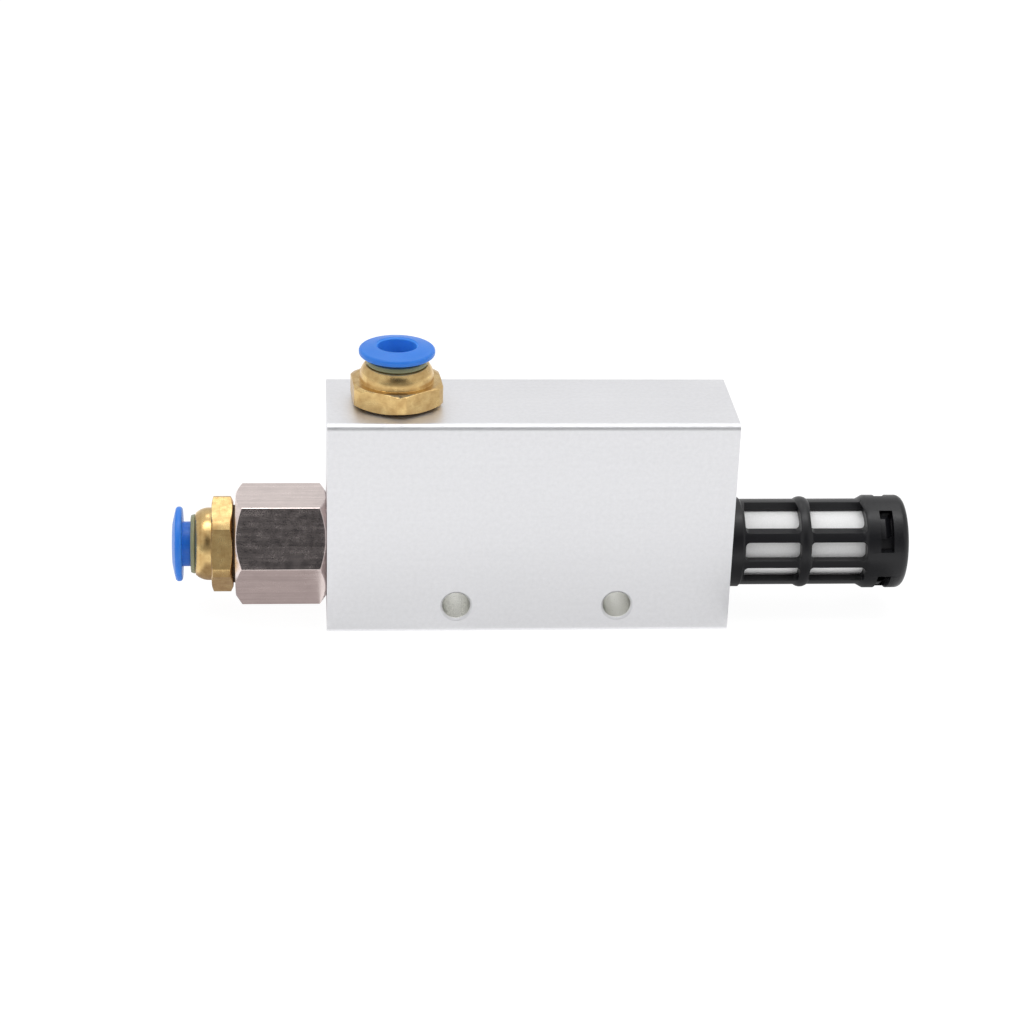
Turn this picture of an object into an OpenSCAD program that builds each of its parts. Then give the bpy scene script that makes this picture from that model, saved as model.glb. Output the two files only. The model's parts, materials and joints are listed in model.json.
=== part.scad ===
// Single-stage inline vacuum ejector: aluminium block, hexagonal nozzle holder,
// two push-in fittings for 6 mm tube and a cage silencer. Millimetres, +Z up.
// Origin: centre of the block's lower face. Compressed air enters at -X and
// leaves through the silencer at +X; the vacuum port is on top.

/* [Block] */
// Length of the block along the air path
body_len = 64.5; // [60:0.5:80]
// Depth of the block
body_depth = 20; // [20:0.5:30]
// Height of the block
body_height = 36; // [30:0.5:50]
// Radius of the four long edges
body_edge_r = 1; // [0.5:0.1:2]
// Height of the air path's axis over the lower face
axis_height = 11.2; // [11:0.1:14]
// Distance of the vacuum port from the inlet face
vacuum_port_x = 11; // [10.5:0.1:11.5]

/* [Mounting holes] */
// Diameter of the two cross holes
mount_hole_d = 4.4; // [3.2:0.1:4.6]
// Distance between the two cross holes
mount_spacing = 25.8; // [24:0.1:26.5]
// Distance of the first cross hole from the inlet face
mount_first_x = 20.6; // [20.4:0.1:22]
// Height of the cross holes over the lower face
mount_hole_z = 4.7; // [3.5:0.1:4.8]
// Width of the chamfers at the cross holes
mount_chamfer = 0.4; // [0.1:0.05:0.5]

/* [Air path in the block] */
// Outer diameter of the inlet and exhaust threads
main_thread_d = 13.1; // [12:0.1:13.2]
// Depth of the inlet thread
inlet_thread_depth = 8.5; // [8:0.1:8.6]
// Diameter of the suction chamber
chamber_d = 10; // [9:0.1:10]
// Distance of the chamber's end wall from the inlet face
chamber_end_x = 17.5; // [17:0.1:17.6]
// Diameter of the passage from the vacuum port to the chamber
passage_d = 6; // [4:0.1:6.4]
// Depth of the exhaust thread
exhaust_depth = 10.5; // [10:0.1:13.5]

/* [Nozzle holder] */
// Gap from the corners of the holder's hexagon to the block's front and back face
holder_corner_gap = 0.185; // [0.1:0.005:0.8]
// Length of the holder's hexagon
holder_len = 14.5; // [13:0.1:18]
// Turn of the holder's hexagon about the axis, degrees
holder_turn = 30; // [-30:0.5:30]
// Height of the corner chamfers on the holder's hexagon
holder_chamfer = 1.05; // [0.6:0.05:1.8]
// Length of the holder's male thread
holder_thread_len = 7.5; // [6:0.1:7.8]
// Length of the thread relief behind the holder's hexagon
holder_relief_len = 1.8; // [1.6:0.1:2.4]
// Diameter of the holder's own air passage
holder_passage_d = 5; // [4:0.1:5]

/* [Nozzle and diffuser] */
// Thread diameter of the nozzle
nozzle_thread_d = 6; // [5.6:0.1:6.4]
// Length of the nozzle's thread
nozzle_thread_len = 6; // [5:0.1:7]
// Diameter of the nozzle's head
nozzle_head_d = 8; // [7.6:0.1:8.4]
// Thickness of the nozzle's head
nozzle_head_len = 1.2; // [1:0.1:1.6]
// Diameter of the nozzle's orifice
orifice_d = 1.5; // [0.8:0.1:1.8]
// Outer diameter of the nozzle's tip
nozzle_tip_d = 2.8; // [2.6:0.1:3.4]
// Gap between the nozzle's tip and the diffuser's mouth
nozzle_gap = 0.8; // [0.5:0.1:1.5]
// Outer diameter of the diffuser
diffuser_d = 6.4; // [6.2:0.1:6.4]
// Diameter of the diffuser's throat
throat_d = 2.6; // [2:0.1:2.8]
// Length of the diffuser's straight throat
throat_len = 12; // [8:0.5:14]
// Diameter of the diffuser's mouth and outlet
diffuser_mouth_d = 4.8; // [4.2:0.1:5]
// Length of the diffuser's converging mouth
diffuser_mouth_len = 4.5; // [3:0.1:5]
// Diameter of the diffuser's flange
diffuser_flange_d = 9.2; // [8.8:0.1:9.3]
// Thickness of the diffuser's flange
diffuser_flange_len = 1.8; // [1.4:0.1:1.8]

/* [Push-in fittings] */
// Outer diameter of the tube that the fittings take
tube_d = 6; // [5.8:0.1:6]
// Diameter of the fittings' thread
fitting_thread_d = 9.72; // [9.6:0.01:9.9]
// Length of the fittings' threaded shank
fitting_shank_len = 7.6; // [7:0.1:8]
// Width across the flats of the fittings' hexagon
fitting_af = 14; // [13:0.1:14.2]
// Diameter to which the hexagon's corners are turned
fitting_corner_d = 15.4; // [14.8:0.1:15.8]
// Thickness of the sealing washer under the hexagon
washer_t = 0.4; // [0.3:0.05:0.8]
// Height of the fittings' hexagon
fitting_hex_h = 3.4; // [3:0.1:4]
// Diameter of the turned dome over the hexagon
dome_d = 11.7; // [11.6:0.1:12.2]
// Radius of the dome's shoulder
dome_r = 3; // [2.8:0.1:3.4]
// Height of the dome over the hexagon
dome_h = 2.6; // [2.5:0.1:3]
// Diameter of the counterbore that holds the tube seal and the claws
cartridge_d = 9; // [8.8:0.1:9.2]
// Height of the retaining ring's head over the dome
ring_head_h = 0.75; // [0.6:0.05:1]
// Diameter of the retaining ring's head where it meets the dome
ring_head_d = 9.6; // [9.4:0.1:9.8]
// Turn of the air fitting's hexagon, degrees
air_fitting_turn = 17; // [-30:1:30]
// Turn of the vacuum fitting's hexagon, degrees
vacuum_fitting_turn = 34; // [0:1:60]
// Depth of the tube socket below the tube seal
socket_depth = 6.6; // [5:0.1:7]
// Thickness of the tube seal
tube_seal_h = 1.4; // [1.2:0.1:1.5]
// Thickness of the backing ring under the claws
backing_h = 0.9; // [0.9:0.05:1.1]
// Thickness of the claw ring's sheet
claw_t = 0.2; // [0.15:0.05:0.25]
// Number of teeth of the claw ring
claw_teeth = 8; // [6:1:10]

/* [Release collars] */
// Travel of a release collar
collar_travel = 1.2; // [0.8:0.1:1.3]
// How far the vacuum collar rests pressed in, of its travel
vacuum_collar_sit = 0.6; // [0:0.1:0.7]
// Outer diameter of the collar's neck
neck_d = 7.2; // [7.1:0.1:7.3]
// Diameter of the collar's flange
flange_d = 12; // [11:0.1:13]
// Thickness of the collar's flange at its edge
flange_t = 1.1; // [0.9:0.1:1.4]
// Radius of the flange's edge
flange_edge_r = 0.45; // [0.3:0.05:0.55]
// Height of the hole's rim over the flange's edge
flange_crown = 0.5; // [0.1:0.05:0.7]
// Width of the lead-in at the collar's mouth
mouth_chamfer = 0.25; // [0.2:0.05:0.5]

/* [Silencer] */
// Outer diameter of the cage between its rings
cage_d = 14; // [13.8:0.1:14.4]
// Wall of the cage
cage_wall = 1.5; // [1.3:0.1:1.6]
// Height of the bead between the two columns of windows
mid_ring_h = 0.4; // [0.2:0.05:0.6]
// Diameter of the cage's base ring
base_ring_d = 14.6; // [14.4:0.1:15.2]
// Diameter of the cage's end
cage_end_d = 15.2; // [14.8:0.1:15.6]
// Radius of the cage's outer end edge
cage_end_r = 1.2; // [0.8:0.1:1.3]
// Length of the cage's base ring
base_ring_len = 2.8; // [2.2:0.1:3.2]
// Length of the cage's end beyond the windows
cage_end_len = 6.9; // [6.8:0.05:8]
// Length of a window
window_len = 9.1; // [8:0.05:9.4]
// Height of a window
window_h = 3.05; // [2.4:0.05:3.2]
// Distance between the windows of one column
window_pitch = 4.33; // [4.2:0.01:4.6]
// Height of the lowest window's lower wall over the axis
window_first_z = -4.6; // [-4.7:0.1:-4.3]
// Distance between the two columns of windows
column_gap = 1.6; // [1.2:0.05:1.8]
// Corner radius of the windows
window_corner_r = 0.7; // [0.3:0.1:1]
// Length of a snap slot along the axis
slot_len = 2.15; // [2:0.05:2.2]
// Distance of the snap slots from the silencer's end
slot_from_end = 2.6; // [2.5:0.05:3]
// Angle of the first snap slot above the front, degrees
slot_turn = 38; // [34:1:42]
// Angle that a snap slot opens around the axis, degrees
slot_angle = 55; // [45:1:58]
// Angle that a hook takes in its slot, degrees
hook_angle = 24; // [16:1:30]
// Outer diameter of the porous element
element_d = 10.7; // [10:0.1:11]
// Bore of the porous element
element_bore_d = 7.8; // [7.6:0.1:8]
// Length of the silencer's threaded boss
boss_len = 10; // [8:0.1:10]

/* [Hidden] */
$fn = 96;

// fits: gaps on the radius
thread_gap = 0.05;
slip_gap = 0.03;
collar_gap = 0.08;
tube_gap = 0.1;
snap_gap = 0.1;
// a cut runs this far past the surface that it opens
over = 1;

// the holder's hexagon fills the block's depth: 17 mm across flats on a 20 mm block
holder_af = 2 * cos(30) * (body_depth / 2 - holder_corner_gap);

// places along the air path, from the inlet face
inlet_x = -body_len / 2;
passage_end_x = chamber_end_x;
flange_seat_x = body_len - exhaust_depth - diffuser_flange_len;
nozzle_tip_x = chamber_end_x - nozzle_gap;

// o-rings
main_o_ring_t = 1.5;
small_o_ring_t = 1;
holder_relief_d = main_thread_d - 1.3;
holder_seal_bore_d = holder_relief_d + 2 * main_o_ring_t + 2 * slip_gap;
holder_seal_depth = main_o_ring_t + slip_gap;
nozzle_relief_d = nozzle_thread_d - 0.8;
nozzle_seal_depth = small_o_ring_t + slip_gap;
nozzle_seal_bore_d = nozzle_relief_d + 2 * small_o_ring_t + 2 * slip_gap;
diffuser_groove_d = diffuser_d - 2 * small_o_ring_t;
diffuser_groove_len = 1.5;
front_groove_x = chamber_end_x + 6.5;
rear_groove_x = flange_seat_x - 9;

// push-in fitting, heights over the face that carries it
tube_bore_r = tube_d / 2 + tube_gap;
hex_top = washer_t + fitting_hex_h;
dome_top = hex_top + dome_h;
ring_top = dome_top + ring_head_h;
seal_z = washer_t + 0.3;
backing_z = seal_z + tube_seal_h;
claw_z = backing_z + backing_h;
skirt_z = claw_z + claw_t;
collar_stop_z = 5;
hook_t = 0.5;
hook_d = neck_d + 0.8;
hook_top = collar_stop_z - 0.05;
nose_z = skirt_z + collar_travel - 0.25;
skirt_bore_d = hook_d + 0.2;
flange_z = ring_top + collar_travel + 0.15;
flange_top = flange_z + flange_t;
rim_z = flange_top + flange_crown;
shank_bore_d = 4.2;
port_depth = fitting_shank_len + 1.4;

// silencer, distances from the block's exhaust face
cage_bore_d = cage_d - 2 * cage_wall;
element_start = 0.8;
column_x = [base_ring_len, base_ring_len + window_len + column_gap];
cage_end_x = column_x[1] + window_len;
silencer_len = cage_end_x + cage_end_len;
cap_bore_start = cage_end_x + 1.1;
cap_bore_d = cage_end_d - 2.8;
slot_x = silencer_len - slot_from_end - slot_len;
cap_disc_x = silencer_len - slot_from_end + 0.3;
cap_face_x = silencer_len - 0.4;
element_end = cap_bore_start + 1;
spigot_wall = 0.7;
spigot_d = element_bore_d - 2 * slip_gap;

// ---------------------------------------------------------------- helpers

// turned shape about the air path, local z running downstream from x
module on_air_path(x) {
  translate([inlet_x + x, 0, axis_height]) rotate([0, 90, 0]) children();
}

// frame of the air fitting: z outward from the holder's inlet face
module on_air_port() {
  translate([inlet_x - holder_len, 0, axis_height]) rotate([0, -90, 0]) children();
}

// frame of the vacuum fitting: z outward from the block's top face
module on_vacuum_port() {
  translate([inlet_x + vacuum_port_x, 0, body_height]) children();
}

// profile piece: a rectangle from radius r1 to r2 between heights z1 and z2
module step2d(r1, r2, z1, z2) {
  translate([r1, z1]) square([r2 - r1, z2 - z1]);
}

// ring of round section
module o_ring(inner_d, t) {
  rotate_extrude() translate([inner_d / 2 + t / 2, 0]) circle(d = t, $fn = 32);
}

// rectangle with round corners, its lower left corner at the origin
module round_rect(w, h, r) {
  translate([r, 0]) square([w - 2 * r, h]);
  translate([0, r]) square([w, h - 2 * r]);
  for (x = [r, w - r], y = [r, h - r]) translate([x, y]) circle(r = r, $fn = 48);
}

// hexagonal prism
module hexagon(af, h, turn) {
  rotate([0, 0, turn]) cylinder(d = af / cos(30), h = h, $fn = 6);
}

// cone that flares a bore of radius r by c at height 0, opening towards -z
module mouth(r, c) {
  translate([0, 0, -over]) cylinder(r1 = r + c + over, r2 = r, h = c + over);
}

// ---------------------------------------------------------------- block

module body_block() {
  color("gainsboro") difference() {
    translate([inlet_x, -body_depth / 2, 0]) rotate([90, 0, 90])
      linear_extrude(body_len) round_rect(body_depth, body_height, body_edge_r);
    block_air_path();
    block_vacuum_port();
    for (i = [0, 1]) mount_hole(mount_first_x + i * mount_spacing);
  }
}

module block_air_path() {
  on_air_path(0) {
    translate([0, 0, -over]) cylinder(d = main_thread_d, h = inlet_thread_depth + over);
    translate([0, 0, -over]) cylinder(d = holder_seal_bore_d, h = holder_seal_depth + over);
    cylinder(d = chamber_d, h = chamber_end_x);
    cylinder(d = diffuser_d, h = body_len);
    translate([0, 0, flange_seat_x]) cylinder(d = diffuser_flange_d + 2 * slip_gap, h = exhaust_depth);
    translate([0, 0, body_len - exhaust_depth]) cylinder(d = main_thread_d, h = exhaust_depth + over);
  }
}

module block_vacuum_port() {
  on_vacuum_port() {
    translate([0, 0, -port_depth]) cylinder(d = fitting_thread_d, h = port_depth + over);
    translate([0, 0, axis_height - body_height]) cylinder(d = passage_d, h = body_height - axis_height);
  }
}

module mount_hole(x) {
  translate([inlet_x + x, 0, mount_hole_z]) {
    rotate([90, 0, 0]) cylinder(d = mount_hole_d, h = body_depth + 2 * over, center = true);
    for (side = [-1, 1])
      translate([0, side * body_depth / 2, 0]) rotate([side * 90, 0, 0])
        mouth(mount_hole_d / 2, mount_chamfer);
  }
}

// ---------------------------------------------------------------- nozzle holder

module nozzle_holder() {
  color("rosybrown") difference() {
    union() {
      holder_hexagon();
      on_air_path(0) rotate_extrude() holder_thread_profile();
    }
    on_air_port() {
      translate([0, 0, -port_depth]) cylinder(d = fitting_thread_d, h = port_depth + over);
      translate([0, 0, -holder_len - holder_thread_len - over])
        cylinder(d = holder_passage_d, h = holder_len + holder_thread_len);
    }
    on_air_path(holder_thread_len) {
      translate([0, 0, -nozzle_thread_len]) cylinder(d = nozzle_thread_d, h = nozzle_thread_len + over);
      translate([0, 0, -nozzle_seal_depth]) cylinder(d = nozzle_seal_bore_d, h = nozzle_seal_depth + over);
    }
  }
}

module holder_hexagon() {
  corner_r = holder_af / 2 / cos(30);
  flat_r = holder_af / 2 - 0.2;
  on_air_path(-holder_len) intersection() {
    hexagon(holder_af, holder_len, holder_turn);
    rotate_extrude() polygon([
      [0, 0], [flat_r, 0], [corner_r + 0.01, holder_chamfer], [corner_r + 0.01, holder_len - holder_chamfer],
      [flat_r, holder_len], [0, holder_len]
    ]);
  }
}

module holder_thread_profile() {
  thread_r = main_thread_d / 2 - thread_gap;
  lead = 0.6;
  step2d(0, holder_relief_d / 2, -over, holder_relief_len);
  polygon([
    [0, holder_relief_len], [thread_r - lead, holder_relief_len], [thread_r, holder_relief_len + lead],
    [thread_r, holder_thread_len - lead], [thread_r - lead, holder_thread_len], [0, holder_thread_len]
  ]);
}

module holder_o_ring() {
  color("dimgray") on_air_path(main_o_ring_t / 2) o_ring(holder_relief_d + slip_gap, main_o_ring_t);
}

// ---------------------------------------------------------------- nozzle and diffuser

module nozzle() {
  thread_r = nozzle_thread_d / 2 - thread_gap;
  head_x = holder_thread_len;
  head_end = head_x + nozzle_head_len;
  orifice_r = orifice_d / 2;
  supply_r = nozzle_thread_d / 2 - 1;
  neck_r = nozzle_tip_d / 2 + 0.9;
  cone_x = (head_end + nozzle_tip_x) / 2;
  color("goldenrod") on_air_path(0) rotate_extrude() difference() {
    polygon([
      [0, head_x - nozzle_thread_len], [thread_r - 0.4, head_x - nozzle_thread_len],
      [thread_r, head_x - nozzle_thread_len + 0.4], [thread_r, head_x - nozzle_seal_depth - 0.3],
      [nozzle_relief_d / 2, head_x - nozzle_seal_depth], [nozzle_relief_d / 2, head_x],
      [nozzle_head_d / 2, head_x], [nozzle_head_d / 2, head_end], [neck_r, head_end],
      [neck_r, cone_x], [nozzle_tip_d / 2, nozzle_tip_x], [0, nozzle_tip_x]
    ]);
    polygon([
      [0, -over], [supply_r, -over], [supply_r, head_end], [orifice_r, cone_x + 1],
      [orifice_r, nozzle_tip_x - 2], [orifice_r + 0.25, nozzle_tip_x + 0.01], [0, nozzle_tip_x + 0.01]
    ]);
  }
}

module nozzle_o_ring() {
  color("dimgray") on_air_path(holder_thread_len - small_o_ring_t / 2)
    o_ring(nozzle_relief_d + slip_gap, small_o_ring_t);
}

module diffuser() {
  outer_r = diffuser_d / 2 - slip_gap;
  throat_x = chamber_end_x + diffuser_mouth_len;
  end_x = flange_seat_x + diffuser_flange_len;
  color("goldenrod") on_air_path(0) rotate_extrude() difference() {
    union() {
      step2d(0, outer_r, chamber_end_x, end_x);
      step2d(0, diffuser_flange_d / 2, flange_seat_x, end_x);
    }
    polygon([
      [0, chamber_end_x - 0.01], [diffuser_mouth_d / 2, chamber_end_x - 0.01], [throat_d / 2, throat_x],
      [throat_d / 2, throat_x + throat_len], [diffuser_mouth_d / 2, end_x + 0.01], [0, end_x + 0.01]
    ]);
    for (x = [front_groove_x, rear_groove_x])
      step2d(diffuser_groove_d / 2, outer_r + over, x, x + diffuser_groove_len);
  }
}

module diffuser_o_ring(x) {
  color("dimgray") on_air_path(x + diffuser_groove_len / 2)
    o_ring(diffuser_groove_d, small_o_ring_t - slip_gap);
}

module diffuser_front_o_ring() {
  diffuser_o_ring(front_groove_x);
}

module diffuser_rear_o_ring() {
  diffuser_o_ring(rear_groove_x);
}

// ---------------------------------------------------------------- push-in fitting

module fitting_body(turn) {
  color("goldenrod") difference() {
    union() {
      fitting_hexagon(turn);
      rotate_extrude() fitting_turned_profile();
    }
    translate([0, 0, seal_z]) cylinder(d = cartridge_d, h = dome_top - seal_z + over);
    translate([0, 0, seal_z - socket_depth]) cylinder(r = tube_bore_r, h = socket_depth + over);
    translate([0, 0, -fitting_shank_len - over]) cylinder(d = shank_bore_d, h = fitting_shank_len + over);
  }
}

module fitting_hexagon(turn) {
  corner_r = fitting_corner_d / 2;
  flat_r = fitting_af / 2 - 0.1;
  intersection() {
    translate([0, 0, washer_t]) hexagon(fitting_af, fitting_hex_h, turn);
    rotate_extrude() polygon([
      [0, washer_t], [flat_r, washer_t], [corner_r, washer_t + 0.4], [corner_r, hex_top - 0.25],
      [flat_r, hex_top], [0, hex_top]
    ]);
  }
}

module fitting_turned_profile() {
  shank_r = fitting_thread_d / 2 - thread_gap;
  lead = 0.6;
  polygon([
    [0, -fitting_shank_len], [shank_r - lead, -fitting_shank_len], [shank_r, lead - fitting_shank_len],
    [shank_r, washer_t + over], [0, washer_t + over]
  ]);
  step2d(0, dome_d / 2, hex_top - over, hex_top + 0.5);
  intersection() {
    translate([dome_d / 2 - dome_r, hex_top + 0.5]) circle(r = dome_r);
    step2d(0, dome_d, hex_top + 0.5, dome_top);
  }
  step2d(0, dome_d / 2 - dome_r, hex_top, dome_top);
}

module fitting_washer() {
  color("dimgray") rotate_extrude() step2d(fitting_thread_d / 2, fitting_af / 2 - 0.75, 0, washer_t);
}

module tube_seal() {
  lip = 0.5;
  color("black") rotate_extrude() polygon([
    [tube_bore_r, seal_z + lip], [tube_bore_r + 0.3, seal_z], [cartridge_d / 2, seal_z],
    [cartridge_d / 2, backing_z], [tube_bore_r, backing_z]
  ]);
}

module backing_ring() {
  color("gainsboro") rotate_extrude() polygon([
    [tube_bore_r + 0.45, backing_z], [cartridge_d / 2, backing_z], [cartridge_d / 2, claw_z],
    [cartridge_d / 2 - 0.3, claw_z]
  ]);
}

module claw_ring() {
  rim_r = cartridge_d / 2 - 0.35;
  slit_w = 0.45;
  tip_drop = 0.75;
  color("silver") difference() {
    rotate_extrude() polygon([
      [cartridge_d / 2, claw_z], [cartridge_d / 2, skirt_z], [rim_r, skirt_z],
      [tube_bore_r, skirt_z - tip_drop], [tube_bore_r, skirt_z - tip_drop - claw_t], [rim_r, claw_z]
    ]);
    for (i = [0 : claw_teeth - 1]) rotate([0, 0, i * 360 / claw_teeth])
      translate([0, -slit_w / 2, claw_z - over]) cube([rim_r - 0.25, slit_w, claw_t + 2 * over]);
  }
}

module retaining_ring() {
  color("darkkhaki") rotate_extrude() difference() {
    union() {
      step2d(0, cartridge_d / 2, skirt_z, dome_top + 0.1);
      polygon([
        [0, dome_top], [ring_head_d / 2 - 0.2, dome_top], [ring_head_d / 2, dome_top + 0.2],
        [ring_head_d / 2 - 0.2, ring_top], [0, ring_top]
      ]);
    }
    step2d(-over, neck_d / 2 + collar_gap, skirt_z - over, ring_top + over);
    step2d(-over, skirt_bore_d / 2, skirt_z - over, collar_stop_z);
  }
}

module release_collar() {
  color("royalblue") rotate_extrude() difference() {
    union() {
      step2d(0, neck_d / 2, nose_z, flange_z + 0.1);
      step2d(0, hook_d / 2, hook_top - hook_t, hook_top);
      flange_profile();
    }
    step2d(-over, tube_bore_r, nose_z - over, rim_z + over);
    translate([0, rim_z - mouth_chamfer]) polygon([
      [0, 0], [tube_bore_r, 0], [tube_bore_r + mouth_chamfer + 0.01, mouth_chamfer + 0.01],
      [0, mouth_chamfer + 0.01]
    ]);
  }
}

module flange_profile() {
  edge_x = flange_d / 2 - flange_edge_r;
  lip_r = tube_bore_r + mouth_chamfer;
  crown_drop = (pow(edge_x, 2) - pow(lip_r, 2) + pow(flange_crown, 2)) / (2 * flange_crown);
  step2d(0, edge_x, flange_z, flange_top);
  step2d(0, flange_d / 2, flange_z + flange_edge_r, flange_top - flange_edge_r);
  for (z = [flange_z + flange_edge_r, flange_top - flange_edge_r])
    translate([edge_x, z]) circle(r = flange_edge_r, $fn = 48);
  intersection() {
    translate([0, rim_z - crown_drop]) circle(r = sqrt(pow(crown_drop, 2) + pow(lip_r, 2)), $fn = 360);
    step2d(0, edge_x, flange_top - 0.1, rim_z);
  }
}

// ---------------------------------------------------------------- the two fittings

module air_fitting_body() {
  on_air_port() fitting_body(air_fitting_turn);
}

module air_fitting_washer() {
  on_air_port() fitting_washer();
}

module air_tube_seal() {
  on_air_port() tube_seal();
}

module air_backing_ring() {
  on_air_port() backing_ring();
}

module air_claw_ring() {
  on_air_port() claw_ring();
}

module air_retaining_ring() {
  on_air_port() retaining_ring();
}

module air_release_collar() {
  on_air_port() release_collar();
}

module vacuum_fitting_body() {
  on_vacuum_port() fitting_body(vacuum_fitting_turn);
}

module vacuum_fitting_washer() {
  on_vacuum_port() fitting_washer();
}

module vacuum_tube_seal() {
  on_vacuum_port() tube_seal();
}

module vacuum_backing_ring() {
  on_vacuum_port() backing_ring();
}

module vacuum_claw_ring() {
  on_vacuum_port() claw_ring();
}

module vacuum_retaining_ring() {
  on_vacuum_port() retaining_ring();
}

module vacuum_release_collar() {
  on_vacuum_port() translate([0, 0, -vacuum_collar_sit]) release_collar();
}

// ---------------------------------------------------------------- silencer

module silencer_cage() {
  color("#2b2b2e") difference() {
    on_air_path(body_len) rotate_extrude() cage_profile();
    for (half = [0, 180]) on_air_axis(half) {
      cage_windows();
      snap_slots();
    }
  }
}

// frame on the axis at the exhaust face, x downstream, turned about the axis
module on_air_axis(turn) {
  translate([inlet_x + body_len, 0, axis_height]) rotate([turn, 0, 0]) children();
}

module cage_profile() {
  boss_r = main_thread_d / 2 - thread_gap;
  lead = 0.6;
  difference() {
    union() {
      polygon([
        [0, -boss_len], [boss_r - lead, -boss_len], [boss_r, lead - boss_len], [boss_r, 0.5], [0, 0.5]
      ]);
      base_ring_profile();
      step2d(0, cage_d / 2, 0, cage_end_x + 0.5);
      mid_ring_profile();
      cage_end_profile();
    }
    step2d(-over, spigot_d / 2 - spigot_wall, -boss_len - over, silencer_len + over);
    difference() {
      step2d(-over, cage_bore_d / 2, element_start, silencer_len + over);
      step2d(-over, spigot_d / 2, 0, element_start + 2);
    }
    step2d(-over, cap_bore_d / 2, cap_bore_start, silencer_len + over);
  }
}

module base_ring_profile() {
  flank = (base_ring_d - cage_d) / 2;
  polygon([
    [0, 0], [base_ring_d / 2, 0], [base_ring_d / 2, base_ring_len - 0.15 - flank],
    [cage_d / 2, base_ring_len - 0.15], [0, base_ring_len - 0.15]
  ]);
}

module mid_ring_profile() {
  z1 = column_x[0] + window_len;
  half_w = column_gap / 2 + 0.25;
  bead_r = (pow(half_w, 2) + pow(mid_ring_h, 2)) / (2 * mid_ring_h);
  translate([cage_d / 2 + mid_ring_h - bead_r, z1 + column_gap / 2]) circle(r = bead_r);
}

module cage_end_profile() {
  end_r = cage_end_d / 2;
  rise = end_r - cage_d / 2;
  polygon([
    [0, cage_end_x - rise], [cage_d / 2, cage_end_x - rise], [end_r, cage_end_x + 0.5],
    [end_r, silencer_len - cage_end_r], [end_r - cage_end_r, silencer_len - cage_end_r],
    [end_r - cage_end_r, silencer_len], [0, silencer_len]
  ]);
  translate([end_r - cage_end_r, silencer_len - cage_end_r]) circle(r = cage_end_r, $fn = 64);
}

// the front half's windows: their side walls lie along the pull of the mould
module cage_windows() {
  for (x = column_x, row = [0 : 2])
    translate([x, 0, window_first_z + row * window_pitch]) rotate([90, 0, 0])
      linear_extrude(cage_end_d) round_rect(window_len, window_h, window_corner_r);
}

// a cut along the pull of the mould, over an angle around the axis at the cage's end
module pulled_cut(x, len, turn, angle) {
  z1 = cage_end_d / 2 * sin(turn - angle / 2);
  z2 = cage_end_d / 2 * sin(turn + angle / 2);
  translate([x, -cage_end_d, z1]) cube([len, cage_end_d, z2 - z1]);
}

// the two snap slots of one half, a quarter turn apart
module snap_slots() {
  for (turn = [slot_turn, slot_turn - 90]) pulled_cut(slot_x, slot_len, turn, slot_angle);
}

module silencer_element() {
  color("whitesmoke") on_air_path(body_len) rotate_extrude()
    step2d(element_bore_d / 2, element_d / 2, element_start, element_end);
}

module silencer_end_cap() {
  skirt_r = cap_bore_d / 2 - snap_gap;
  color("#242427") {
    on_air_path(body_len) rotate_extrude() cap_profile(skirt_r);
    for (half = [0, 180]) cap_hooks(skirt_r, half);
  }
}

module cap_profile(skirt_r) {
  seat_r = element_d / 2 + slip_gap;
  difference() {
    step2d(0, skirt_r, cap_bore_start, cap_face_x);
    step2d(spigot_d / 2 + 0.6, seat_r, cap_bore_start - over, cap_disc_x);
    step2d(spigot_d / 2, seat_r, cap_bore_start - over, element_end);
    step2d(-over, spigot_d / 2 - spigot_wall, cap_bore_start - over, cap_disc_x);
  }
}

// hooks that snap into the slots, cut from one turned wedge
module cap_hooks(skirt_r, half) {
  hook_r = cage_end_d / 2 - 0.5;
  intersection() {
    on_air_axis(half) hook_blocks();
    on_air_path(body_len) rotate_extrude() polygon([
      [skirt_r - 0.5, slot_x + snap_gap], [hook_r, slot_x + snap_gap], [hook_r, slot_x + 0.9],
      [skirt_r, slot_x + slot_len - snap_gap], [skirt_r - 0.5, slot_x + slot_len - snap_gap]
    ]);
  }
}

module hook_blocks() {
  for (turn = [slot_turn, slot_turn - 90]) pulled_cut(slot_x, slot_len, turn, hook_angle);
}

body_block();
nozzle_holder();
holder_o_ring();
nozzle();
nozzle_o_ring();
diffuser();
diffuser_front_o_ring();
diffuser_rear_o_ring();
air_fitting_body();
air_fitting_washer();
air_tube_seal();
air_backing_ring();
air_claw_ring();
air_retaining_ring();
air_release_collar();
vacuum_fitting_body();
vacuum_fitting_washer();
vacuum_tube_seal();
vacuum_backing_ring();
vacuum_claw_ring();
vacuum_retaining_ring();
vacuum_release_collar();
silencer_cage();
silencer_element();
silencer_end_cap();
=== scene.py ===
"""Finishes and studio set for a single-stage vacuum ejector.

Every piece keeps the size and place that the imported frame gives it. Edges are
rounded by modifiers, finishes are node materials, and the set is a glowing
white floor with soft lights and reflector cards.
"""

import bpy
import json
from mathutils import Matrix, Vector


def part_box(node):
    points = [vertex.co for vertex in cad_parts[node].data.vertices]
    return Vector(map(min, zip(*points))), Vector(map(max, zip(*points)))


bl_info = {
    "name": "Vacuum ejector finish",
    "version": (1, 0, 0),
    "blender": (4, 5, 0),
    "location": "3D View > Sidebar > Ejector",
    "description": "Dresses the pieces of a vacuum ejector and sets its studio",
    "category": "Object",
}

import json
import math

import bpy
from bpy.props import FloatProperty, FloatVectorProperty, PointerProperty
from bpy.types import Operator, Panel, PropertyGroup
from mathutils import Matrix, Vector

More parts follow.
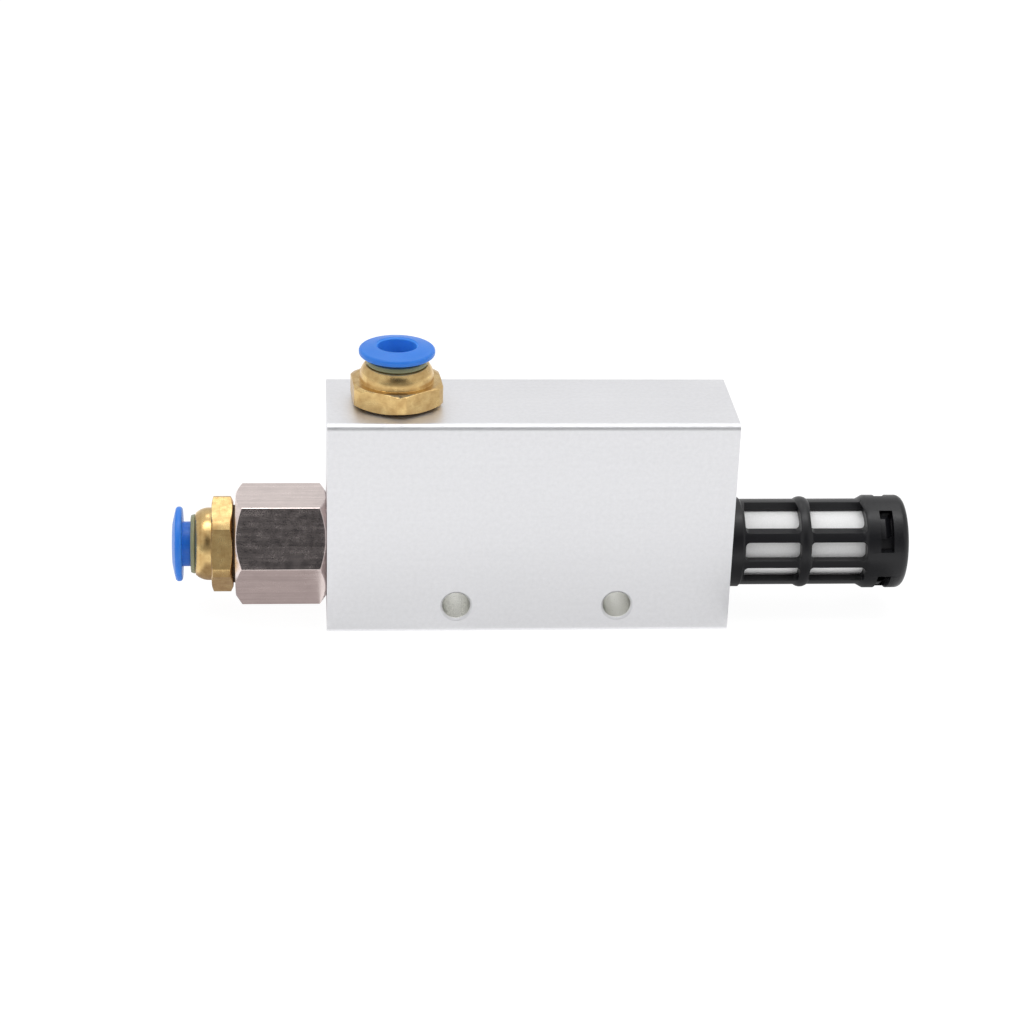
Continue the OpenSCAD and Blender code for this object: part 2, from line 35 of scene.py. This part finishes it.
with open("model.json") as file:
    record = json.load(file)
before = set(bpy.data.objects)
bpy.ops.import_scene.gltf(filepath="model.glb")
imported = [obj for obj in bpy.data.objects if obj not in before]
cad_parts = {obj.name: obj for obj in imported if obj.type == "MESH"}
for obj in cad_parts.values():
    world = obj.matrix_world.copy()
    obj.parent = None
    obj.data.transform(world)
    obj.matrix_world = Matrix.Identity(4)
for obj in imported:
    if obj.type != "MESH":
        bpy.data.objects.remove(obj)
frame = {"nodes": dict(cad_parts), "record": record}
NODES = frame["nodes"]
MM = 0.001
WHITE = (1.0, 1.0, 1.0)

# The way out of each push-in fitting
FITTINGS = {"air": Vector((-1, 0, 0)), "vacuum": Vector((0, 0, 1))}


# ------------------------------------------------------------ shader trees

class Field:
    """A socket of a material's tree that takes part in Python arithmetic."""

    def __init__(self, shader, socket):
        self.shader = shader
        self.socket = socket

    def math(self, operation):
        return self.shader.math(operation, self)

    def __add__(self, other):
        return self.shader.math("ADD", self, other)

    def __radd__(self, other):
        return self.shader.math("ADD", other, self)

    def __sub__(self, other):
        return self.shader.math("SUBTRACT", self, other)

    def __rsub__(self, other):
        return self.shader.math("SUBTRACT", other, self)

    def __mul__(self, other):
        return self.shader.math("MULTIPLY", self, other)

    def __rmul__(self, other):
        return self.shader.math("MULTIPLY", other, self)


class Shader:
    """One material and the nodes that it is built from."""

    def __init__(self, name):
        self.material = bpy.data.materials.new(name)
        self.material.use_nodes = True
        self.tree = self.material.node_tree
        self.tree.nodes.clear()
        self.output = self.tree.nodes.new("ShaderNodeOutputMaterial")

    def node(self, kind, settings=None, inputs=None):
        """Adds a node: settings are its attributes, inputs the values or links of its sockets."""
        made = self.tree.nodes.new(kind)
        for name, value in (settings or {}).items():
            setattr(made, name, value)
        for name, value in (inputs or {}).items():
            if isinstance(value, Field):
                self.tree.links.new(value.socket, made.inputs[name])
            else:
                made.inputs[name].default_value = value
        return made

    def field(self, node, output=0):
        return Field(self, node.outputs[output])

    def math(self, operation, *values):
        settings = {"operation": operation}
        return self.field(self.node("ShaderNodeMath", settings, dict(enumerate(values))))

    def vector(self, operation, *values):
        settings = {"operation": operation}
        return self.field(self.node("ShaderNodeVectorMath", settings, dict(enumerate(values))))

    def place(self, scale=(1, 1, 1)):
        """The piece's own coordinates in metres, stretched by scale."""
        coordinates = self.field(self.node("ShaderNodeTexCoord"), "Object")
        return self.vector("MULTIPLY", coordinates, scale)

    def axes(self, vector):
        """The three numbers of a vector."""
        made = self.node("ShaderNodeSeparateXYZ", inputs={"Vector": vector})
        return [self.field(made, axis) for axis in range(3)]

    def noise(self, vector, scale, detail=2.0, roughness=0.5):
        made = self.node("ShaderNodeTexNoise", inputs={
            "Vector": vector, "Scale": scale, "Detail": detail, "Roughness": roughness})
        return self.field(made, "Fac")

    def cells(self, vector, scale):
        """Distance from the nearest of many scattered points."""
        made = self.node("ShaderNodeTexVoronoi", inputs={"Vector": vector, "Scale": scale})
        return self.field(made, "Distance")

    def ramp(self, value, low=0.3, high=0.7, at_low=0.0, at_high=1.0):
        """A straight ramp from low to high, whose defaults spread a noise over 0 to 1."""
        made = self.node("ShaderNodeMapRange", inputs={
            "Value": value, "From Min": low, "From Max": high,
            "To Min": at_low, "To Max": at_high})
        return self.field(made, "Result")

    def within(self, distance, near, far):
        """A mask that is 1 up to near and 0 from far on."""
        return self.ramp(distance, near, far, at_low=1.0, at_high=0.0)

    def blend(self, factor, first, second):
        """A colour between two colours, which are the Mix node's inputs 6 and 7."""
        made = self.node("ShaderNodeMix", {"data_type": "RGBA"},
                         {0: factor, 6: first, 7: second})
        return self.field(made, 2)

    def bump(self, height, depth, strength=0.6, normal=None):
        """Relief of the given depth, over another bump's normal where one is given."""
        inputs = {"Height": height, "Distance": depth, "Strength": strength}
        if normal is not None:
            inputs["Normal"] = normal
        return self.field(self.node("ShaderNodeBump", inputs=inputs), "Normal")

    def surface(self, node):
        """Ends the tree in a shader node, and returns the material."""
        self.tree.links.new(node.outputs[0], self.output.inputs["Surface"])
        return self.material

    def principled(self, **inputs):
        """Ends the tree in one Principled surface, whose sockets are named as keywords."""
        sockets = {key.replace("_", " ").title().replace("Ior", "IOR"): value
                   for key, value in inputs.items()}
        return self.surface(self.node("ShaderNodeBsdfPrincipled", inputs=sockets))


def rgba(colour, factor=1.0):
    """A colour made lighter or darker by factor, for a node's socket."""
    return tuple(min(1.0, part * factor) for part in colour) + (1.0,)


# ------------------------------------------------------------ sizes and colours

def colour_property(name, description, default):
    return FloatVectorProperty(name=name, description=description, default=default, size=3,
                               min=0.0, max=1.0, subtype="COLOR")


def length_property(name, description, default):
    return FloatProperty(name=name, description=description, default=default, min=0.0,
                         subtype="DISTANCE", unit="LENGTH", precision=5)


def angle_property(name, description, degrees):
    return FloatProperty(name=name, description=description, default=math.radians(degrees),
                         subtype="ANGLE")


def power_property(name, description, default):
    return FloatProperty(name=name, description=description, default=default, min=0.0,
                         unit="POWER")


class EjectorColours(PropertyGroup):
    """Base colours of the finishes."""
    anodised: colour_property(
        "Anodised aluminium", "Block's blasted and anodised surface", (0.84, 0.84, 0.86))
    drilled: colour_property(
        "Drilled aluminium", "Bright walls of the block's cross holes", (0.90, 0.90, 0.87))
    plating: colour_property(
        "Plating", "Satin plate of the nozzle holder", (0.86, 0.75, 0.72))
    brass: colour_property(
        "Brass", "Turned brass of the fittings and the nozzle", (0.75, 0.54, 0.24))
    tarnish: colour_property(
        "Tarnish", "Brown bloom on the turned brass", (0.42, 0.22, 0.07))
    collar: colour_property(
        "Collar", "Blue acetal of the release collars", (0.024, 0.20, 0.72))
    # Painted light: a lighter blue for the walls of the collars' holes, standing in for the light
    # inside them.
    collar_bore_painted_light: colour_property(
        "Collar bore", "Walls of the collars' holes, painted lighter as painted light", (0.06, 0.34, 1.0))
    ring: colour_property(
        "Retaining ring", "Olive resin of the rings that guide the collars",
        (0.28, 0.285, 0.16))
    nylon: colour_property(
        "Black nylon", "Moulding of the silencer", (0.0050, 0.0050, 0.0064))
    element: colour_property(
        "Porous element", "Sintered tube in the silencer", (0.93, 0.93, 0.93))
    rubber: colour_property(
        "Rubber", "Seals inside the block and the fittings", (0.02, 0.02, 0.02))
    washer: colour_property(
        "Washer", "Brown-black sealing washers under the fittings", (0.085, 0.052, 0.028))
    steel: colour_property(
        "Spring steel", "Claw rings", (0.62, 0.62, 0.63))
    acetal: colour_property(
        "White acetal", "Backing rings", (0.80, 0.80, 0.77))


class EjectorEdges(PropertyGroup):
    """Widths of the broken edges."""
    block: length_property("Block", "Broken ends and hole edges of the block", 0.12 * MM)
    holder: length_property("Nozzle holder", "Rounded edges of the holder's hexagon", 0.42 * MM)
    fitting: length_property("Fittings", "Broken edges of the brass bodies", 0.14 * MM)
    collar: length_property("Collars", "Rounding of the collars' edges", 0.10 * MM)
    cage: length_property("Cage", "Rounding of the cage's window edges", 0.15 * MM)
    turned: length_property("Small pieces", "Broken edges of the small pieces", 0.08 * MM)


class EjectorStage(PropertyGroup):
    """Camera, floor and lights."""
    eye: FloatVectorProperty(
        name="Camera", description="Place of the camera", size=3, subtype="TRANSLATION",
        unit="LENGTH", default=(-0.03698, -0.38869, 0.19566))
    pitch: angle_property("Pitch", "How far the camera looks down", 24.644)
    yaw: angle_property("Yaw", "Turn of the camera from +Y towards +X", 5.093)
    roll: angle_property("Roll", "Tilt of the camera about its own axis", 1.945)
    lens: FloatProperty(
        name="Lens", description="Focal length on a 36 mm sensor, in millimetres",
        default=93.488, min=10.0)
    floor: length_property("Floor", "Side of the square floor", 8.0)
    sky: FloatProperty(
        name="Surrounding light", description="Radiance of the white surroundings",
        default=0.72, min=0.0)
    key: power_property("Overhead light", "Power of the soft light over the set", 2.3)
    fill: power_property("Front fill", "Power of the light on the shaded plastics", 1.2)


# ------------------------------------------------------------ finishes

def blasted_aluminium(colour, drilled_colour, holes):
    """Bead-blasted, clear anodised faces with a fine grain.

    The walls of the two cross holes, whose mount is holes, are bright from the drill.
    """
    s = Shader("blasted_anodised_aluminium")
    x, _, z = s.axes(s.place())
    centre_x, _, centre_z = holes["pos_m"]
    hole_r = holes["dims"]["hole_r_mm"] * MM
    across = (x - centre_x).math("ABSOLUTE") - holes["dims"]["spacing_x_mm"] / 2 * MM
    up = z - centre_z
    from_hole = (across * across + up * up).math("SQRT")
    drilled = s.within(from_hole, hole_r + 0.04 * MM, hole_r + 0.10 * MM)
    drill_lines = s.noise(s.place((200.0, 5200.0, 200.0)), 1.0)
    grain = s.noise(s.place(), 4200.0, 3.0, 0.6)
    speck = s.noise(s.place(), 1500.0, 3.0, 0.6)
    drawn = s.noise(s.place((40.0, 1400.0, 1400.0)), 1.0, 3.0)
    cloud = s.noise(s.place(), 60.0)
    tone = s.ramp(speck) * 0.6 + s.ramp(drawn) * 0.15 + s.ramp(cloud) * 0.25
    anodised = s.blend(tone, rgba(colour, 0.95), rgba(colour, 1.04))
    relief = grain + speck * 0.6 + drawn * 0.1 + drilled * drill_lines
    return s.principled(
        base_color=s.blend(drilled, anodised, rgba(drilled_colour)), metallic=0.9,
        roughness=0.38 + 0.10 * s.ramp(grain) + 0.05 * cloud - 0.15 * drilled,
        normal=s.bump(relief, 0.018 * MM))


def satin_plate(colour):
    """Nickel plate over drawn hexagon bar: lines along the bar and soft blotches."""
    s = Shader("satin_plate")
    lines = s.noise(s.place((60.0, 1500.0, 1500.0)), 1.0, 4.0, 0.6)
    fine = s.noise(s.place(), 2600.0, 3.0, 0.6)
    blotch = s.noise(s.place(), 260.0)
    bloom = s.noise(s.place(), 850.0, 4.0, 0.65)
    tone = s.ramp(lines) * 0.6 + s.ramp(blotch) * 0.2 + s.ramp(bloom) * 0.2
    polish = 0.06 * s.ramp(bloom, 0.32, 0.7) + 0.05 * s.ramp(lines, 0.35, 0.65) + 0.03 * fine
    return s.principled(
        base_color=s.blend(tone, rgba(colour, 0.84), rgba(colour, 1.12)), metallic=1.0,
        roughness=0.17 + polish,
        normal=s.bump(lines + fine * 0.5 + bloom * 0.6, 0.016 * MM))


def lathe_coordinates(s, centre, along):
    """Distance along the axis and from it, for a piece turned about centre and along."""
    parts = s.axes(s.vector("SUBTRACT", s.place(), tuple(centre)))
    station = next(part * way for part, way in zip(parts, along) if way)
    first, second = (part for part, way in zip(parts, along) if not way)
    return station, (first * first + second * second).math("SQRT")


def lathe_brass(name, colour, tarnish, centre, along):
    """Turned brass: tool marks round the axis, small dents and a brown bloom."""
    s = Shader(name)
    station, radius = lathe_coordinates(s, centre, along)
    turning = s.field(s.node("ShaderNodeCombineXYZ", inputs={"X": station + radius}))
    rings = s.noise(turning, 5000.0, 3.0)
    dents = s.noise(s.place(), 420.0)
    blotch = s.noise(s.place(), 700.0, 3.0, 0.6)
    tone = s.ramp(blotch, 0.36, 0.70) * 0.52 + s.ramp(rings, 0.45, 0.8) * 0.25
    worn = s.bump(dents, 0.14 * MM)
    return s.principled(
        base_color=s.blend(tone, rgba(colour, 1.06), rgba(tarnish)), metallic=1.0,
        roughness=0.25 + 0.10 * tone + 0.04 * s.ramp(rings),
        normal=s.bump(rings + blotch * 0.5, 0.010 * MM, normal=worn))


def moulded_plastic(name, colour, roughness, subsurface=0.0, grain=3500.0, depth=0.004 * MM,
                    light_patches=1.08, bore=None):
    """Moulded plastic: a faint spark texture and a little light under the skin.

    A bore (centre, along, radius, colour) has its walls painted lighter, a painted light inside
    the hole.
    """
    s = Shader(name)
    skin = s.noise(s.place(), grain, 3.0, 0.55)
    cloud = s.noise(s.place(), 220.0)
    tone = s.blend(cloud, rgba(colour, 0.94), rgba(colour, light_patches))
    if bore:
        centre, along, bore_r, bore_painted_light = bore
        _, radius = lathe_coordinates(s, centre, along)
        # Painted light: the band of the bore's wall takes the lighter bore colour.
        wall = s.within(radius, bore_r + 0.05 * MM, bore_r + 0.25 * MM)
        tone = s.blend(wall, tone, rgba(bore_painted_light))
    return s.principled(
        base_color=tone, roughness=roughness - 0.05 + 0.07 * s.ramp(skin) + 0.04 * cloud,
        normal=s.bump(skin, depth), specular_ior_level=0.4, subsurface_weight=subsurface,
        subsurface_radius=(0.5, 0.8, 1.0), subsurface_scale=1.0 * MM)


def sintered_plastic(colour):
    """White granules fused together, with painted shade in the hollows between them."""
    s = Shader("sintered_plastic")
    hollow_depth_and_shade = s.ramp(s.cells(s.place(), 4200.0), 0.1, 0.6)
    fine = s.noise(s.place(), 6000.0)
    return s.principled(
        # Painted shade: the hollows between the granules are painted darker as well as sunk by
        # the bump.
        base_color=s.blend(hollow_depth_and_shade, rgba(colour, 1.03), rgba(colour, 0.97)), roughness=0.8,
        normal=s.bump(fine * 0.3 - hollow_depth_and_shade, 0.010 * MM, 0.4),
        subsurface_weight=0.3, subsurface_radius=WHITE, subsurface_scale=0.8 * MM)


def spring_steel(colour):
    """Stamped stainless sheet with rolling lines."""
    s = Shader("stainless_spring_steel")
    lines = s.noise(s.place((400.0, 5000.0, 5000.0)), 1.0, 3.0)
    return s.principled(
        base_color=s.blend(lines, rgba(colour, 0.9), rgba(colour, 1.05)), metallic=1.0,
        roughness=0.22 + 0.1 * lines, normal=s.bump(lines, 0.003 * MM, 0.4))


# ------------------------------------------------------------ pieces

WELD_DISTANCE = 0.001 * MM
FLAT_ANGLE = math.radians(1.0)


def paint(node, material):
    """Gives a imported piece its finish."""
    for slot in NODES[node].material_slots:
        slot.material = material


def break_edges(node, width, degrees=30.0, segments=2):
    """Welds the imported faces, joins flat ones, and rounds the edges that turn past degrees."""
    modifiers = NODES[node].modifiers
    modifiers.new("weld", "WELD").merge_threshold = WELD_DISTANCE
    flats = modifiers.new("flats", "DECIMATE")
    flats.decimate_type = "DISSOLVE"
    flats.angle_limit = FLAT_ANGLE
    edges = modifiers.new("edges", "BEVEL")
    edges.width = width
    edges.segments = segments
    edges.limit_method = "ANGLE"
    edges.angle_limit = math.radians(degrees)
    edges.miter_outer = "MITER_ARC"
    modifiers.new("shading", "WEIGHTED_NORMAL").keep_sharp = True


def mount(name):
    """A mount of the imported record."""
    for entry in frame["record"]["mounts"]:
        if entry["name"] == name:
            return entry
    raise LookupError("the record has no mount " + name)


def fitting_centre(side):
    """A point on a fitting's axis, at its washer's seat."""
    low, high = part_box(side + "_fitting_washer")
    out = FITTINGS[side]
    return (low + high) / 2 - out * abs((high - low).dot(out)) / 2


class EJECTOR_OT_block(Operator):
    """Dress the aluminium block"""
    bl_idname = "ejector.block"
    bl_label = "Block"

    def execute(self, context):
        colours, edges = context.scene.ejector_colours, context.scene.ejector_edges
        aluminium = blasted_aluminium(colours.anodised, colours.drilled, mount("mount_holes"))
        paint("body_block", aluminium)
        break_edges("body_block", edges.block)
        return {"FINISHED"}


class EJECTOR_OT_holder(Operator):
    """Dress the hexagonal nozzle holder"""
    bl_idname = "ejector.holder"
    bl_label = "Nozzle holder"

    def execute(self, context):
        colours, edges = context.scene.ejector_colours, context.scene.ejector_edges
        paint("nozzle_holder", satin_plate(colours.plating))
        break_edges("nozzle_holder", edges.holder, degrees=25.0, segments=3)
        return {"FINISHED"}


class EJECTOR_OT_fittings(Operator):
    """Dress the brass bodies, washers and retaining rings of both push-in fittings"""
    bl_idname = "ejector.fittings"
    bl_label = "Push-in fittings"

    def execute(self, context):
        colours, edges = context.scene.ejector_colours, context.scene.ejector_edges
        rubber = moulded_plastic("washer_rubber", colours.washer, roughness=0.6)
        resin = moulded_plastic("olive_resin", colours.ring, roughness=0.32, subsurface=0.35)
        for side, out in FITTINGS.items():
            brass = lathe_brass(side + "_fitting_brass", colours.brass, colours.tarnish,
                                fitting_centre(side), out)
            paint(side + "_fitting_body", brass)
            break_edges(side + "_fitting_body", edges.fitting, degrees=20.0)
            paint(side + "_fitting_washer", rubber)
            break_edges(side + "_fitting_washer", edges.turned)
            paint(side + "_retaining_ring", resin)
            break_edges(side + "_retaining_ring", edges.turned)
        return {"FINISHED"}


class EJECTOR_OT_collars(Operator):
    """Dress both release collars"""
    bl_idname = "ejector.collars"
    bl_label = "Release collars"

    def execute(self, context):
        colours, edges = context.scene.ejector_colours, context.scene.ejector_edges
        for side, out in FITTINGS.items():
            bore_r = mount(side + "_tube_port")["dims"]["r_mm"] * MM
            # Each collar's bore walls are painted lighter, a painted light inside the hole.
            acetal = moulded_plastic(
                side + "_collar_acetal", colours.collar, roughness=0.36, subsurface=0.25,
                bore=(fitting_centre(side), out, bore_r, colours.collar_bore_painted_light))
            paint(side + "_release_collar", acetal)
            break_edges(side + "_release_collar", edges.collar, degrees=24.0)
        return {"FINISHED"}


class EJECTOR_OT_silencer(Operator):
    """Dress the cage, the end cap and the porous element of the silencer"""
    bl_idname = "ejector.silencer"
    bl_label = "Silencer"

    def execute(self, context):
        colours, edges = context.scene.ejector_colours, context.scene.ejector_edges
        nylon = moulded_plastic("black_nylon", colours.nylon, roughness=0.36, grain=2600.0,
                                depth=0.03 * MM, light_patches=1.4)
        paint("silencer_cage", nylon)
        break_edges("silencer_cage", edges.cage)
        paint("silencer_end_cap", nylon)
        break_edges("silencer_end_cap", edges.turned)
        paint("silencer_element", sintered_plastic(colours.element))
        break_edges("silencer_element", edges.turned)
        return {"FINISHED"}


class EJECTOR_OT_inner_pieces(Operator):
    """Dress the nozzle, the diffuser, the seals, the backing rings and the claw rings"""
    bl_idname = "ejector.inner_pieces"
    bl_label = "Inner pieces"

    def execute(self, context):
        colours, edges = context.scene.ejector_colours, context.scene.ejector_edges
        low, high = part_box("nozzle")
        brass = lathe_brass("air_path_brass", colours.brass, colours.tarnish,
                            (low + high) / 2, (1, 0, 0))
        rubber = moulded_plastic("seal_rubber", colours.rubber, roughness=0.5)
        acetal = moulded_plastic("white_acetal", colours.acetal, roughness=0.4, subsurface=0.2)
        steel = spring_steel(colours.steel)
        for node in ("nozzle", "diffuser"):
            paint(node, brass)
            break_edges(node, edges.turned)
        for place in ("holder", "nozzle", "diffuser_front", "diffuser_rear"):
            paint(place + "_o_ring", rubber)
        for side in FITTINGS:
            paint(side + "_claw_ring", steel)
            paint(side + "_tube_seal", rubber)
            break_edges(side + "_tube_seal", edges.turned)
            paint(side + "_backing_ring", acetal)
            break_edges(side + "_backing_ring", edges.turned)
        return {"FINISHED"}


# ------------------------------------------------------------ stage

def plain_surface(name, whiteness, glow, glow_share, tint=WHITE):
    """A stage surface that is part matt white paint and part even glow."""
    s = Shader(name)
    matt = s.node("ShaderNodeBsdfDiffuse", inputs={"Color": rgba(WHITE, whiteness)})
    light = s.node("ShaderNodeEmission", inputs={"Color": (*tint, 1.0), "Strength": glow})
    return s.surface(s.node("ShaderNodeMixShader", inputs={
        0: glow_share, 1: s.field(matt), 2: s.field(light)}))


def sheet(name, corners, material):
    """A flat four-cornered piece of the set."""
    mesh = bpy.data.meshes.new(name)
    mesh.from_pydata(corners, [], [(0, 1, 2, 3)])
    mesh.materials.append(material)
    made = bpy.data.objects.new(name, mesh)
    bpy.context.scene.collection.objects.link(made)
    return made


def card(name, span, foot, head, radiance, tint=WHITE):
    """A glowing card over span in x, from its foot to its head, each (y, z).

    Reflections and soft light see it, and the camera and shadows don't.
    """
    left, right = span
    made = sheet(name, [(left, *foot), (right, *foot), (right, *head), (left, *head)],
                 plain_surface(name, whiteness=0.0, glow=radiance, glow_share=1.0, tint=tint))
    made.visible_camera = False
    made.visible_shadow = False
    return made


def painted_shadow_card(name, span, front, back, radiance, tint=WHITE):
    """A dim card just above the floor, a painted shadow that only polished undersides see."""
    height = 0.5 * MM
    made = card(name, span, (front, height), (back, height), radiance, tint)
    made.visible_diffuse = False


def soft_light(name, place, target, width, height, power):
    """A rectangular light at place that faces target."""
    data = bpy.data.lights.new(name, "AREA")
    data.shape = "RECTANGLE"
    data.size = width
    data.size_y = height
    data.energy = power
    made = bpy.data.objects.new(name, data)
    bpy.context.scene.collection.objects.link(made)
    made.location = place
    made.rotation_mode = "QUATERNION"
    made.rotation_quaternion = (Vector(target) - Vector(place)).to_track_quat("-Z", "Y")
    return made


class EJECTOR_OT_stage(Operator):
    """Set the floor, the lights and the camera"""
    bl_idname = "ejector.stage"
    bl_label = "Stage"

    def execute(self, context):
        scene = context.scene
        stage = scene.ejector_stage
        half = stage.floor / 2
        sheet("floor", [(-half, -half, 0), (half, -half, 0), (half, half, 0), (-half, half, 0)],
              plain_surface("white_sweep", whiteness=0.92, glow=1.1, glow_share=0.85))
        self.lights(scene, stage)
        self.standing_cards()
        self.painted_shadow_cards()
        self.camera(scene, stage)
        scene.view_settings.view_transform = "Standard"
        return {"FINISHED"}

    def lights(self, scene, stage):
        """White surroundings, a soft light above and a fill that gloss doesn't show."""
        world = bpy.data.worlds.new("studio")
        world.use_nodes = True
        surroundings = world.node_tree.nodes["Background"].inputs
        surroundings["Strength"].default_value = stage.sky
        surroundings["Color"].default_value = rgba(WHITE)
        scene.world = world
        soft_light("overhead", (0, -0.02, 0.75), target=(0, 0, 0), width=0.9, height=0.24,
                   power=stage.key)
        fill = soft_light("front_fill", (0.1, -0.75, 0.30), target=(0, 0, 0.02), width=1.2,
                          height=0.6, power=stage.fill)
        fill.visible_glossy = False

    def standing_cards(self):
        """Dim cards in front darken what metal reflects; bright ones behind light nylon."""
        card("front_low", (-0.8, 0.8), foot=(-0.6, 0.0), head=(-0.6, 0.25), radiance=0.30)
        card("front_high", (-0.3, 0.3), foot=(-0.6, 0.25), head=(-0.48, 0.53), radiance=0.02,
             tint=(0.92, 0.97, 1.12))
        card("back_left", (-0.16, 0.02), foot=(0.40, 0.46), head=(0.32, 0.55), radiance=2.9)
        card("back_right", (0.14, 0.30), foot=(0.38, 0.49), head=(0.14, 0.68), radiance=2.0)

    def painted_shadow_cards(self):
        """Painted shadows: dim cards on the floor under the holder and the silencer and in front
        of the block, which only reflections see.
        """
        block, holder, cage = map(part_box, ("body_block", "nozzle_holder", "silencer_cage"))
        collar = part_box("air_release_collar")
        gap = 1.0 * MM
        # Painted shadow cards: their dim glow stands in for the floor's shade under and beside
        # the pieces.
        painted_shadow_card("holder_painted_shadow", (collar[0].x, block[0].x - gap), holder[0].y - 8.0 * MM,
                   holder[1].y, radiance=0.39, tint=(1.05, 0.96, 0.96))
        painted_shadow_card("silencer_painted_shadow", (block[1].x + gap, cage[1].x), cage[0].y - 20.0 * MM,
                   cage[1].y, radiance=0.30)
        painted_shadow_card("block_foot_painted_shadow", (block[0].x, block[1].x), block[0].y - 24.0 * MM,
                   block[0].y, radiance=0.80)

    def camera(self, scene, stage):
        """A level look along +Y, turned by yaw, then pitch, then roll."""
        forward = Vector((math.sin(stage.yaw), math.cos(stage.yaw), 0))
        right = Vector((math.cos(stage.yaw), -math.sin(stage.yaw), 0))
        forward = forward * math.cos(stage.pitch) - Vector((0, 0, 1)) * math.sin(stage.pitch)
        up = right.cross(forward)
        side = right * math.cos(stage.roll) + up * math.sin(stage.roll)
        top = up * math.cos(stage.roll) - right * math.sin(stage.roll)
        data = bpy.data.cameras.new("camera")
        data.sensor_width = 36.0
        data.lens = stage.lens
        data.clip_start = 0.01
        data.clip_end = 50.0
        made = bpy.data.objects.new("camera", data)
        scene.collection.objects.link(made)
        turn = Matrix((side, top, -forward)).transposed().to_4x4()
        made.matrix_world = Matrix.Translation(stage.eye) @ turn
        scene.camera = made


# ------------------------------------------------------------ panel and registration

GROUPS = {"ejector_colours": EjectorColours, "ejector_edges": EjectorEdges,
          "ejector_stage": EjectorStage}
STEPS = (EJECTOR_OT_block, EJECTOR_OT_holder, EJECTOR_OT_fittings, EJECTOR_OT_collars,
         EJECTOR_OT_silencer, EJECTOR_OT_inner_pieces, EJECTOR_OT_stage)


class EJECTOR_PT_panel(Panel):
    """The ejector's steps, colours and sizes in the sidebar"""
    bl_label = "Ejector"
    bl_idname = "EJECTOR_PT_panel"
    bl_space_type = "VIEW_3D"
    bl_region_type = "UI"
    bl_category = "Ejector"

    def draw(self, context):
        layout = self.layout
        for step in STEPS:
            layout.operator(step.bl_idname)
        for name in GROUPS:
            group = getattr(context.scene, name)
            box = layout.box()
            for value in group.__annotations__:
                box.prop(group, value)


CLASSES = (*GROUPS.values(), *STEPS, EJECTOR_PT_panel)


def register():
    for entry in CLASSES:
        bpy.utils.register_class(entry)
    for name, group in GROUPS.items():
        setattr(bpy.types.Scene, name, PointerProperty(type=group))


def unregister():
    for name in GROUPS:
        delattr(bpy.types.Scene, name)
    for entry in reversed(CLASSES):
        bpy.utils.unregister_class(entry)


def main():
    register()
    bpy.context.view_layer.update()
    for step in STEPS:
        group, name = step.bl_idname.split(".")
        getattr(getattr(bpy.ops, group), name)()


if __name__ == "__main__":
    main()
